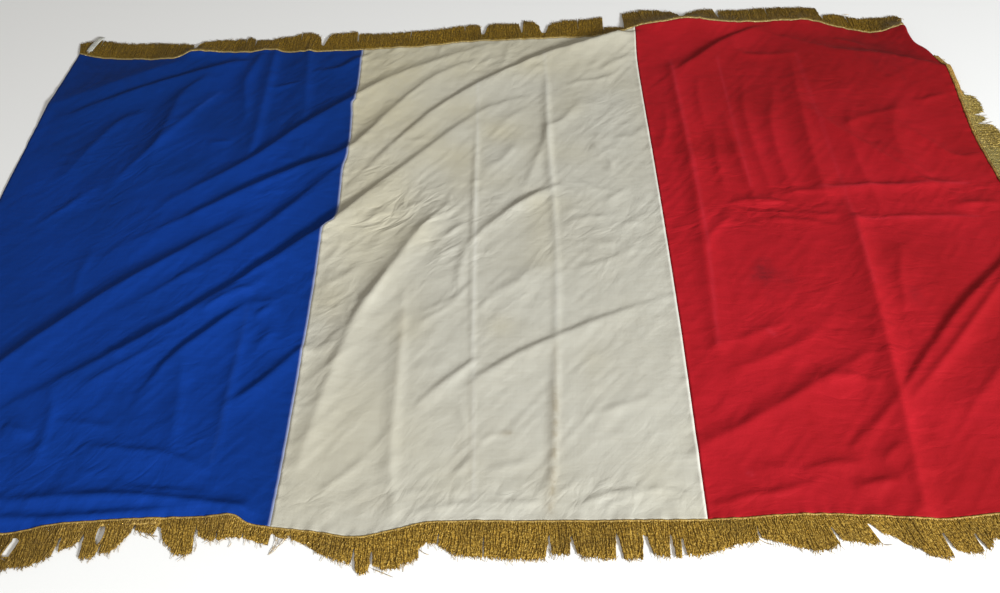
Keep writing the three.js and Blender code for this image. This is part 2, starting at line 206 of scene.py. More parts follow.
# Smaller creases of each panel, which run out at both ends: (height, far flank, near flank, points).
creases = {
    "blue": [
        (3.0, 10, 7, [(150, 600), (170, 650), (200, 700), (230, 760), (260, 820), (280, 855)]),
        (1.8, 5, 6, [(420, 350), (416, 220), (417, 90)]),
        (2.0, 4, 6, [(358, 857), (390, 862), (422, 870)]),
        (2.6, 5, 8, [(350, 330), (385, 360), (405, 373), (420, 372)]),
        (1.8, 4, 7, [(418, 350), (435, 348), (455, 355)]),
        (1.8, 5, 7, [(438, 268), (450, 286), (462, 300)]),
        (2.0, 4, 8, [(425, 320), (440, 335), (458, 345)]),
        (3.0, 8, 10, [(138, 150), (160, 143), (185, 132)]),
        (2.0, 6, 10, [(200, 155), (240, 150), (285, 143)]),
        (2.8, 5, 12, [(245, 118), (300, 110), (360, 100), (415, 74)]),
        (1.8, 4, 6, [(300, 62), (350, 52), (420, 47)]),
        (2.8, 8, 10, [(180, 212), (196, 170), (198, 90)]),
        (2.2, 9, 14, [(345, 255), (352, 200), (362, 100)]),
        (2.0, 5, 9, [(215, 205), (260, 238), (300, 268), (330, 290)]),
        (1.6, 6, 8, [(165, 470), (160, 400), (170, 350)]),
        (2.0, 8, 9, [(60, 520), (95, 560), (140, 620)]),
        (1.5, 5, 6, [(285, 712), (330, 712)]),
    ],
    "white": [
        (2.2, 3, 5, [(553, 285), (575, 345), (590, 375), (609, 414)]),
        (1.6, 3, 4, [(575, 330), (590, 362), (606, 400)]),
        (1.8, 4, 8, [(650, 302), (670, 315), (700, 340), (720, 380)]),
        (1.2, 3, 4, [(655, 322), (680, 337), (706, 353)]),
        (2.4, 10, 16, [(745, 350), (780, 370), (800, 390), (830, 410)]),
        (2.6, 6, 10, [(800, 570), (820, 640), (835, 690), (842, 722), (862, 736), (882, 765), (905, 805)]),
        (2.0, 6, 9, [(765, 515), (790, 535), (812, 550), (842, 570)]),
        (1.8, 4, 5, [(908, 684), (920, 655), (932, 640), (936, 620), (932, 598)]),
        (1.4, 4, 5, [(918, 530), (932, 547), (955, 567)]),
        (2.4, 8, 12, [(935, 870), (960, 895), (1000, 920)]),
        (1.8, 4, 7, [(878, 834), (900, 845), (932, 850), (962, 866)]),
        (1.8, 5, 8, [(558, 948), (575, 962), (592, 977)]),
        (1.4, 3, 4, [(654, 938), (657, 958), (661, 977)]),
        (1.3, 3, 4, [(502, 192), (520, 213), (548, 243), (572, 271)]),
        (1.5, 4, 6, [(548, 42), (570, 60), (600, 88)]),
        (1.5, 3, 4, [(652, 6), (680, 17), (722, 23), (768, 22), (818, 24)]),
        (1.3, 3, 4, [(832, 6), (860, 21), (900, 33), (932, 42)]),
        (1.2, 3, 4, [(700, 12), (740, 15), (790, 8)]),
        (1.3, 3, 4, [(858, 8), (900, 22), (940, 36), (985, 28)]),
        (1.3, 3, 5, [(708, 168), (716, 145), (723, 118)]),
        (1.2, 3, 4, [(733, 104), (748, 116), (772, 121)]),
        (1.5, 4, 7, [(505, 256), (522, 263), (545, 280)]),
        (2.0, 7, 10, [(505, 368), (525, 383), (548, 402), (560, 420)]),
        (1.6, 5, 6, [(512, 420), (528, 450), (537, 478)]),
        (1.4, 4, 6, [(505, 330), (520, 336), (532, 338)]),
        (1.6, 3, 5, [(667, 452), (690, 480), (715, 500)]),
        (1.4, 3, 4, [(670, 430), (700, 450), (712, 470)]),
        (1.3, 4, 8, [(850, 398), (880, 400), (915, 412), (960, 440)]),
        (1.2, 5, 8, [(860, 140), (900, 152), (960, 175)]),
        (1.2, 4, 6, [(735, 58), (760, 70), (800, 80)]),
        (1.4, 4, 7, [(705, 62), (722, 78), (728, 90)]),
        (1.4, 4, 6, [(735, 318), (742, 338), (760, 352)]),
        (1.6, 6, 10, [(640, 480), (662, 510), (690, 530), (712, 560)]),
        (1.6, 5, 6, [(560, 500), (580, 520), (610, 530)]),
        (2.0, 8, 14, [(735, 620), (770, 650), (800, 700)]),
        (2.0, 8, 14, [(745, 700), (775, 745), (815, 780)]),
        (1.6, 5, 9, [(850, 470), (880, 500), (930, 505)]),
        (1.4, 4, 7, [(870, 600), (900, 570), (940, 560)]),
        (1.4, 4, 7, [(760, 880), (775, 930), (778, 975)]),
    ],
    "red": [
        (3.0, 6, 9, [(1228, 550), (1290, 552), (1360, 550), (1410, 549), (1460, 556)]),
        (2.0, 5, 8, [(1268, 478), (1330, 482), (1400, 480), (1455, 474)]),
        (2.2, 5, 7, [(1418, 500), (1455, 506), (1495, 505)]),
        (1.8, 5, 6, [(1125, 480), (1165, 484), (1210, 478), (1252, 463)]),
        (1.5, 4, 5, [(1150, 501), (1200, 496), (1255, 488)]),
        (1.6, 4, 5, [(1090, 522), (1140, 528), (1200, 520)]),
        (1.6, 4, 5, [(1180, 535), (1215, 545), (1265, 540)]),
        (2.2, 8, 10, [(1168, 955), (1178, 915), (1192, 904), (1235, 900), (1285, 903)]),
        (1.8, 6, 7, [(1348, 946), (1380, 930), (1402, 903)]),
        (2.4, 9, 9, [(1350, 655), (1380, 612), (1412, 568)]),
        (2.6, 8, 10, [(1398, 692), (1430, 652), (1452, 620), (1475, 612), (1502, 622)]),
        (1.8, 4, 6, [(1438, 753), (1465, 760), (1495, 768)]),
        (3.0, 5, 9, [(1262, 150), (1325, 218), (1392, 294), (1452, 362), (1500, 410)]),
        (2.2, 12, 14, [(1045, 203), (1100, 225), (1150, 250), (1192, 282)]),
        (1.6, 7, 9, [(1030, 250), (1080, 262), (1150, 291)]),
        (2.0, 4, 8, [(998, 11), (1050, 25), (1090, 30), (1135, 47)]),
        (2.2, 5, 7, [(1165, 30), (1195, 38), (1228, 42)]),
        (1.8, 5, 7, [(1110, 56), (1150, 64), (1190, 66)]),
        (2.0, 6, 6, [(1057, 425), (1066, 458), (1100, 494)]),
        (1.8, 6, 9, [(1160, 190), (1200, 192), (1238, 180)]),
        (2.0, 6, 8, [(1205, 62), (1222, 80), (1240, 90)]),
        (2.0, 8, 10, [(1010, 640), (1030, 700), (1035, 780)]),
        (2.0, 8, 10, [(1095, 700), (1092, 780), (1100, 850)]),
        (2.0, 10, 12, [(1300, 690), (1350, 720), (1420, 735)]),
        (2.0, 8, 12, [(1300, 300), (1310, 370), (1330, 430)]),
        (2.4, 12, 14, [(1320, 130), (1380, 190), (1450, 280)]),
        (2.0, 8, 10, [(1400, 60), (1440, 130), (1490, 200)]),
    ],
}
creaseGain = {"blue": 1.5, "white": 1.0, "red": 1.4}

# Finely crumpled places: (u, v, spread along u, spread along v, direction in degrees, how many wrinkles).
crumpled = [
    (640, 520, 70, 50, 48, 34), (560, 640, 30, 70, 55, 14), (690, 440, 40, 60, 55, 18),
    (760, 900, 60, 40, 35, 12), (530, 330, 22, 110, 25, 16), (900, 470, 80, 60, 25, 14),
    (930, 760, 50, 90, 40, 10), (560, 930, 40, 30, 50, 12), (1180, 510, 100, 26, 2, 34),
    (1400, 520, 80, 30, 0, 16), (1080, 620, 50, 80, 70, 12), (1300, 800, 120, 60, 20, 10),
    (400, 400, 90, 50, 42, 16), (430, 600, 60, 90, 45, 16), (250, 100, 120, 50, -8, 18),
    (150, 650, 80, 140, 60, 16), (450, 300, 40, 60, 40, 12), (400, 800, 70, 100, 80, 14),
    (800, 30, 180, 18, 10, 20), (1130, 40, 120, 25, 12, 14), (1250, 250, 120, 120, 45, 14),
    (300, 300, 120, 100, 40, 14),
]


def smoothRoute(points, step=9):
    # given points, joined by a smooth curve and spaced evenly
    corners = np.array(points, float)
    padded = np.vstack([2 * corners[0] - corners[1], corners, 2 * corners[-1] - corners[-2]])
    pieces = []
    for a, b, c, d in zip(padded, padded[1:], padded[2:], padded[3:]):
        count = max(2, int(np.hypot(*(c - b)[:2]) / step))
        t = (np.arange(count) / count)[:, None]
        bend = (2 * a - 5 * b + 4 * c - d) * t**2 + (3 * b - a - 3 * c + d) * t**3
        pieces.append(b + 0.5 * ((c - a) * t + bend))
    return np.vstack(pieces + [corners[-1:]])


def ridgeLift(route, far, near, u, v):
    # the lift of one ridge, which falls away over its far flank on the left and its near flank on the right
    lift = np.zeros(len(u))
    reach = 2.6 * max(far, near)
    (lowU, lowV), (highU, highV) = route[:, :2].min(0) - reach, route[:, :2].max(0) + reach
    close = np.flatnonzero((u > lowU) & (u < highU) & (v > lowV) & (v < highV))
    if not len(close):
        return lift
    pu, pv = u[close], v[close]
    distance = np.full(len(close), np.inf)
    height = np.zeros(len(close))
    flank = np.ones(len(close))
    for (au, av, ah), (bu, bv, bh) in zip(route, route[1:]):
        du, dv = bu - au, bv - av
        t = np.clip(((pu - au) * du + (pv - av) * dv) / (du * du + dv * dv), 0, 1)
        away = np.hypot(pu - au - t * du, pv - av - t * dv)
        nearer = away < distance
        side = du * (pv - av) - dv * (pu - au)
        width = near + (far - near) / (1 + np.exp(-side / (1.2 * math.hypot(du, dv))))
        distance = np.where(nearer, away, distance)
        height = np.where(nearer, ah + (bh - ah) * t, height)
        flank = np.where(nearer, width, flank)
    distance = np.hypot(distance, relief["crestRound"]) - relief["crestRound"]
    lift[close] = height * np.exp(-((distance / flank) ** relief["crest"]))
    return lift


def cloudNoise(u, v, cell, seed):
    # smooth noise from -1 to 1, with hills about as wide as the cell
    lattice = np.random.default_rng(seed).uniform(-1, 1, (64, 64))
    x, y = u / cell + 17.3, v / cell + 9.1
    i, j = np.floor(x).astype(int), np.floor(y).astype(int)
    fx, fy = x - i, y - j
    fx, fy = fx * fx * (3 - 2 * fx), fy * fy * (3 - 2 * fy)
    corner = lambda a, b: lattice[(i + a) % 64, (j + b) % 64]
    lower = corner(0, 0) * (1 - fx) + corner(1, 0) * fx
    upper = corner(0, 1) * (1 - fx) + corner(1, 1) * fx
    return lower * (1 - fy) + upper * fy


def taperedRoute(points, height):
    # a crease's points with a height that runs out at both ends
    route = smoothRoute(points, 7)
    share = np.linspace(0, 1, len(route))
    return np.column_stack([route, height * np.sin(np.pi * share) ** 0.6])


def crumpleRoutes():
    # short curved wrinkles scattered over each crumpled place
    random = np.random.default_rng(11)
    routes = []
    for u, v, spreadU, spreadV, direction, count in crumpled:
        for _ in range(count):
            start = np.array([random.normal(u, spreadU / 1.6), random.normal(v, spreadV / 1.6)])
            angle = math.radians(direction + random.normal(0, 16))
            bend = random.normal(0, 0.5)
            length = random.uniform(18, 55)
            steps = [start]
            for turn in (0, 0.5, 1):
                heading = angle + bend * turn
                steps.append(steps[-1] + length / 3 * np.array([math.cos(heading), math.sin(heading)]))
            width = random.uniform(2.6, 5)
            routes.append((random.uniform(0.4, 1.1) * random.choice([-0.6, 1]), width, width * 1.4, steps))
    return routes


foldRoutes = [(smoothRoute(crest), far, near) for far, near, crest in mainFolds]
creaseRoutes = [(taperedRoute(points, height * creaseGain[panel]), far, near)
                for panel, lines in creases.items() for height, far, near, points in lines]
creaseRoutes += [(taperedRoute(points, height), far, near) for height, far, near, points in crumpleRoutes()]
relief = {"crest": 1.1, "crestRound": 1.2, "contact": 0.8, "rest": 0.5, "seamPucker": 0.7, "hemPucker": 0.8,
          "waves": 0.7, "crinkle": 0.35}


def edgePucker(distance, along, reach, seed):
    # fine ripples that start at a line of stitches and die out over the reach
    ripple = cloudNoise(along, distance * 0.25, 9, seed)
    ripple += 0.6 * cloudNoise(along, distance * 0.3, 4.5, seed + 1)
    return ripple * np.exp(-((distance / reach) ** 1.3))


def clothHeight(u, v):
    # height of the cloth's underside in millimetres at points of the cloth in millimetres
    u, v = np.atleast_1d(u).astype(float), np.atleast_1d(v).astype(float)
    folded = sum(ridgeLift(route, far, near, u, v) ** 3 for route, far, near in foldRoutes) ** (1 / 3)
    height = np.maximum(folded - relief["contact"], 0)
    for route, far, near in creaseRoutes:
        height += ridgeLift(route, far, near, u, v)
    waves = cloudNoise(u, v, 95, 3) + 0.7 * cloudNoise(u + 0.6 * v, v - 0.6 * u, 48, 4)
    height += relief["waves"] * (0.7 + 0.5 * waves)
    along, across = 0.62 * u + 0.78 * v, 0.78 * u - 0.62 * v
    crinkle = 1 - 2 * np.abs(cloudNoise(along / 4, across, 13, 5))
    height += relief["crinkle"] * (crinkle + 0.7 * cloudNoise(across / 2, along, 9, 6))
    for line, seed in (("hoistSeam", 9), ("flySeam", 7)):
        height += relief["seamPucker"] * edgePucker(np.abs(u - outline[line](v)), v, 16, seed)
    for line, seed in (("bottom", 31), ("top", 41)):
        height += relief["hemPucker"] * edgePucker(np.abs(v - outline[line](u)), u, 13, seed)
    height += relief["hemPucker"] * edgePucker(np.abs(outline["fly"](v) - u), v, 13, 51)
    return np.maximum(height, 0) + relief["rest"]


def place(u, v, z):
    # from millimetres on the cloth to metres in the frame
    return np.column_stack([u - frameOriginOnCloth[0], v - frameOriginOnCloth[1], z]) * mm


class Wire:
    # a socket that adds Math nodes when it is used in an expression
    def __init__(self, finish, socket):
        self.finish = finish
        self.socket = socket

    def math(self, operation, *values):
        return self.finish.node("ShaderNodeMath", {"operation": operation}, dict(enumerate([self, *values])))

    def __add__(self, other):
        return self.math("ADD", other)

    def __sub__(self, other):
        return self.math("SUBTRACT", other)

    def __rsub__(self, other):
        return self.finish.node("ShaderNodeMath", {"operation": "SUBTRACT"}, {0: other, 1: self})

    def __mul__(self, other):
        return self.math("MULTIPLY", other)

    __radd__ = __add__
    __rmul__ = __mul__

    def between(self, low, high):
        # 0 below low, 1 above high, smooth in between
        sockets = {"Value": self, "From Min": low, "From Max": high}
        return self.finish.node("ShaderNodeMapRange", {"interpolation_type": "SMOOTHSTEP"}, sockets)


class Finish:
    # a material built up node by node around one Principled shader
    def __init__(self, name, constants):
        self.material = bpy.data.materials.new(name)
        self.material.use_nodes = True
        self.tree = self.material.node_tree
        self.shader = self.tree.nodes["Principled BSDF"]
        for socket, value in constants.items():
            self.shader.inputs[socket].default_value = value

    def fill(self, socket, value):
        if isinstance(value, Wire):
            self.tree.links.new(value.socket, socket)
        else:
            socket.default_value = (*value, 1) if socket.type == "RGBA" else value

    def node(self, kind, settings, sockets, output=0):
        node = self.tree.nodes.new(kind)
        for setting, value in settings.items():
            setattr(node, setting, value)
        for socket, value in sockets.items():
            self.fill(node.inputs[socket], value)
        return Wire(self, node.outputs[output])

    def mix(self, factor, first, second):
        return self.node("ShaderNodeMix", {"data_type": "RGBA"}, {0: factor, 6: first, 7: second}, 2)

    def place(self, source="Object", scale=(1, 1, 1)):
        coordinates = self.node("ShaderNodeTexCoord", {}, {}, source)
        return self.node("ShaderNodeMapping", {}, {"Vector": coordinates, "Scale": scale})

    def along(self, turn, stretch):
        # cloth coordinates turned, so that a pattern on them runs on in that direction
        coordinates = self.node("ShaderNodeTexCoord", {}, {}, "UV")
        sockets = {"Vector": coordinates, "Scale": (stretch, 1, 1), "Rotation": (0, 0, turn)}
        return self.node("ShaderNodeMapping", {"vector_type": "TEXTURE"}, sockets)

    def noise(self, where, scale, detail=2, roughness=0.5):
        sockets = {"Vector": where, "Scale": scale, "Detail": detail, "Roughness": roughness}
        return self.node("ShaderNodeTexNoise", {}, sockets, "Fac")

    def threads(self, where, direction, scale):
        sockets = {"Vector": where, "Scale": scale}
        return self.node("ShaderNodeTexWave", {"bands_direction": direction}, sockets, "Fac")

    def edges(self, where, scale):
        # how far a point is from the nearest edge of a net of cells
        sockets = {"Vector": where, "Scale": scale}
        return self.node("ShaderNodeTexVoronoi", {"feature": "DISTANCE_TO_EDGE"}, sockets, "Distance")

    def painted(self, attribute):
        return self.node("ShaderNodeAttribute", {"attribute_name": attribute}, {}, "Fac")

    def bump(self, height, strength, distance, below=None):
        sockets = {"Height": height, "Strength": strength, "Distance": distance}
        if below:
            sockets["Normal"] = below
        return self.node("ShaderNodeBump", {}, sockets, "Normal")

    def wear(self, **sockets):
        for name, value in sockets.items():
            self.fill(self.shader.inputs[name.replace("_", " ")], value)
        return self.material


clothLooks = {
    # the blue's selvedge colour is a pale edge lightened to lift the shade in the hoist seam: painted light
    "blueCloth": {"deep": (0.003, 0.020, 0.125), "plain": (0.004, 0.040, 0.275), "highlightAndSpeckColour": (0.02, 0.075, 0.38),
                  "dirt": (0.008, 0.016, 0.06), "selvedge": (0.55, 0.58, 0.64), "aged": (0.003, 0.026, 0.15),
                  "gloss": 0.06, "grain": 0.85, "stretch": 2.4},
    "ivoryCloth": {"deep": (0.42, 0.39, 0.31), "plain": (0.53, 0.515, 0.445), "highlightAndSpeckColour": (0.60, 0.59, 0.54),
                   "dirt": (0.28, 0.23, 0.15), "selvedge": (0.80, 0.78, 0.72), "aged": (0.50, 0.45, 0.30),
                   "gloss": 0.2, "grain": 0.8, "stretch": 2.0},
    "redCloth": {"deep": (0.27, 0.006, 0.006), "plain": (0.41, 0.010, 0.018), "highlightAndSpeckColour": (0.50, 0.030, 0.05),
                 "dirt": (0.10, 0.010, 0.014), "selvedge": (0.75, 0.55, 0.50), "aged": (0.21, 0.005, 0.006),
                 "gloss": 0.1, "grain": 0.15, "stretch": 1.8},
}


def clothFinish(name):
    look = clothLooks[name]
    finish = Finish(name, {"Specular IOR Level": look["gloss"]})
    cloth = finish.place("UV")
    clouds = finish.noise(cloth, 5, 3)
    mottle = finish.noise(cloth, 60, 4, 0.6)
    warp = finish.noise(finish.place("UV", (420, 12, 1)), 1, 2)
    weft = finish.noise(finish.place("UV", (22, 420, 1)), 1, 2)
    slubs = finish.noise(finish.place("UV", (16, 190, 1)), 1, 3, 0.6)

    # colour: uneven dye, thicker threads, then painted shade towards the corners and edges, painted highlight
    # along the creases, and dirt
    tone = clouds * 0.4 + mottle * 0.15 + warp * 0.12 + weft * 0.13 + slubs * 0.2
    body = finish.mix(tone.between(0.3, 0.66), look["deep"], look["plain"])
    body = finish.mix(0.5, body, look["plain"])
    # painted shade: darker towards the corners and edges
    body = finish.mix(finish.painted("age") * (0.55 + mottle * 0.6), body, look["aged"])
    # painted highlight: paler along the creases, and two small pale specks
    body = finish.mix(finish.painted("fade") * (0.35 + mottle * 0.6), body, look["highlightAndSpeckColour"])
    body = finish.mix(finish.painted("dirt") * (0.25 + mottle.between(0.3, 0.7) * 0.75), body, look["dirt"])
    body = finish.mix(finish.painted("selvedge"), body, look["selvedge"])

    # surface: creased facets where the cloth is crumpled, over soft rumples and the weave
    crossings = finish.threads(cloth, "X", 520) * finish.threads(cloth, "Y", 520)
    weave = finish.bump(crossings * 0.6 + warp * 0.4 + weft * 0.4 + slubs * 1.2, 0.3, 0.0003)
    grain = finish.along(look["grain"], look["stretch"])
    wander = finish.node("ShaderNodeTexNoise", {}, {"Vector": grain, "Scale": 14, "Detail": 3}, "Color")
    bending = {0: wander, 1: (0.07, 0.07, 0), 2: grain}
    bent = finish.node("ShaderNodeVectorMath", {"operation": "MULTIPLY_ADD"}, bending)
    facets = finish.edges(bent, 26) * 1.5 + finish.edges(bent, 70) * 0.5
    rumple = finish.noise(bent, 34, 4, 0.6)
    creased = facets * (0.05 + finish.painted("crumple")) + rumple * 0.35
    skin = finish.bump(creased, 1.0, 0.0026, weave)
    return finish.wear(Base_Color=body, Roughness=0.5 + mottle * 0.22, Normal=skin)


print("materials ready")


clothPanels = {
    "blue_cloth": {"node": "blue_panel", "slot": "blue_cloth", "finish": "blueCloth",
                   "sides": ("hoist", "hoistSeam"), "selvedge": 0.5},
    "white_cloth": {"node": "white_panel", "slot": "ivory_cloth", "finish": "ivoryCloth",
                    "sides": ("hoistSeam", "flySeam"), "selvedge": 0.45},
    "red_cloth": {"node": "red_panel", "slot": "red_cloth", "finish": "redCloth",
                  "sides": ("flySeam", "fly"), "selvedge": 0},
}
clothMake = {"columns": 140, "rows": 276, "thickness": 0.45, "width": 500, "height": 1000}
# Widths of the felled seam, the hoist's hem, the strip under a heading and the selvedge, and their lifts.
edgeMake = {"felled": 4.5, "felledLift": 0.45, "hem": 13, "hemLift": 0.5, "sewn": 7, "sewnLift": 0.4,
            "selvedge": 2.4}

# Stains as (u, v, radius along u, radius along v, strength), and dirt lines as (width, strength, points).
stains = [
    (1125, 380, 16, 20, 0.75), (1155, 360, 14, 12, 0.35), (1320, 330, 10, 16, 0.3), (1117, 396, 8, 8, 0.3),
    (773, 121, 5, 4, 0.6), (728, 85, 5, 22, 0.35), (712, 100, 8, 30, 0.2), (505, 85, 14, 8, 0.3),
    (535, 300, 10, 40, 0.15), (620, 30, 30, 12, 0.18), (880, 480, 40, 30, 0.12), (560, 700, 30, 50, 0.12),
    (60, 930, 60, 60, 0.3), (1440, 900, 60, 60, 0.35),
]
dirtLines = [
    (4.5, 0.75, [(819, 12), (823, 60), (828, 120), (830, 185)]), (3, 0.3, [(830, 185), (834, 260)]),
    (4, 0.22, [(726, 60), (726, 200)]), (3, 0.25, [(628, 200), (630, 330)]),
]
# Painted shade that darkens the cloth towards its corners and edges, and yellows the ivory there: (u, v,
# radius along u, radius along v, strength).
ageing = [
    (500, 900, 260, 330, 0.9), (560, 560, 120, 260, 0.6), (700, 980, 260, 110, 0.6),
    (560, 120, 120, 160, 0.35), (900, 980, 160, 160, 0.4), (60, 950, 420, 380, 0.9),
    (-20, 450, 220, 420, 0.45), (1480, 960, 420, 330, 0.9), (1500, 300, 220, 420, 0.45),
    (1200, 1010, 260, 80, 0.3), (1300, 20, 300, 110, 0.35),
]
# Painted highlight as pale lines along the storage creases' crests, and two small pale specks: (width,
# strength, points).
fadedLines = [
    (1.6, 0.25, [(416, 340), (414, 90)]), (1.4, 0.35, [(282, 852), (250, 800)]),
    (1.4, 0.5, [(726, 860), (726, 450), (727, 240), (731, 30)]),
    (1.4, 0.4, [(842, 940), (841, 600), (843, 450), (836, 290)]),
    (2, 0.2, [(1276, 900), (1277, 600), (1269, 350)]),
    (1.6, 0.35, [(1060, 900), (1060, 500), (1044, 250)]), (1.4, 0.3, [(1140, 900), (1140, 560)]),
    (1.6, 0.4, [(1240, 552), (1460, 552)]), (1.4, 0.3, [(1270, 480), (1450, 479)]),
    (2, 0.5, [(1113, 272), (1119, 266)]), (1.5, 0.5, [(1049, 56), (1053, 53)]),
]


def linePaint(lines, u, v):
    paint = np.zeros(len(u))
    for width, strength, points in lines:
        route = smoothRoute([(*point, strength) for point in points], 12)
        paint = np.maximum(paint, ridgeLift(route, width, width, u, v))
    return paint


def patchPaint(patches, u, v, cell):
    # soft patches with ragged edges
    paint = np.zeros(len(u))
    for atU, atV, radiusU, radiusV, strength in patches:
        ragged = 1 + 0.5 * cloudNoise(u, v, cell, 8)
        away = np.hypot((u - atU) / radiusU, (v - atV) / radiusV) * ragged
        paint = np.maximum(paint, strength * np.exp(-(away**2)))
    return paint


def paintVertices(piece, **layers):
    for name, values in layers.items():
        attribute = piece.data.attributes.new(name, "FLOAT", "POINT")
        attribute.data.foreach_set("value", values.astype(np.float32))


def makePanel(name, panel):
    columns, rows = clothMake["columns"], clothMake["rows"]
    bpy.ops.mesh.primitive_grid_add(x_subdivisions=columns, y_subdivisions=rows, size=2, calc_uvs=True)
    piece = bpy.context.object
    piece.name = piece.data.name = name
    flat = np.empty(len(piece.data.vertices) * 3)
    piece.data.vertices.foreach_get("co", flat)
    share, level = (flat.reshape(-1, 3)[:, :2].T + 1) / 2

    left, right = (outline[side](level * clothMake["height"]) for side in panel["sides"])
    u = left + (right - left) * share
    v = outline["bottom"](u) + (outline["top"](u) - outline["bottom"](u)) * level
    height = clothHeight(u, v)
    fromSeam = np.minimum(share, 1 - share) * clothMake["width"]
    atSeam = np.where(share < 0.5, panel["sides"][0] != "hoist", panel["sides"][1] != "fly")
    felled = atSeam * np.exp(-((fromSeam / edgeMake["felled"]) ** 4))
    hem = (panel["sides"][0] == "hoist") * np.exp(-((share * clothMake["width"] / edgeMake["hem"]) ** 8))
    fringed = np.minimum(level, 1 - level) * clothMake["height"]
    sewn = np.exp(-((fringed / edgeMake["sewn"]) ** 6))
    height += edgeMake["felledLift"] * felled + edgeMake["hemLift"] * hem + edgeMake["sewnLift"] * sewn
    piece.data.vertices.foreach_set("co", place(u, v, height).ravel())

    selvedge = panel["selvedge"] * atSeam * np.exp(-((fromSeam / edgeMake["selvedge"]) ** 4))
    creasing = [(*spot[:2], 1.4 * spot[2], 1.4 * spot[3], spot[5] / 28) for spot in crumpled]
    dirt = np.maximum(patchPaint(stains, u, v, 12), linePaint(dirtLines, u, v))
    paintVertices(piece, selvedge=selvedge, dirt=dirt, fade=linePaint(fadedLines, u, v),
                  age=patchPaint(ageing, u, v, 60), crumple=patchPaint(creasing, u, v, 40))
    corners = np.empty(len(piece.data.loops) * 2)
    layer = piece.data.uv_layers.active.data
    layer.foreach_get("uv", corners)
    corners = corners.reshape(-1, 2) * (clothMake["width"] * mm, clothMake["height"] * mm)
    corners[:, 0] += left.mean() * mm
    layer.foreach_set("uv", corners.ravel())

    pick(piece)
    thicken(piece, clothMake["thickness"], 1)
    bpy.ops.object.shade_smooth()
    piece.data.materials.append(clothFinish(panel["finish"]))
    enter(piece, panel["node"])
    return piece


clothPieces = {name: makePanel(name, panel) for name, panel in clothPanels.items()}
print("cloth panels made")


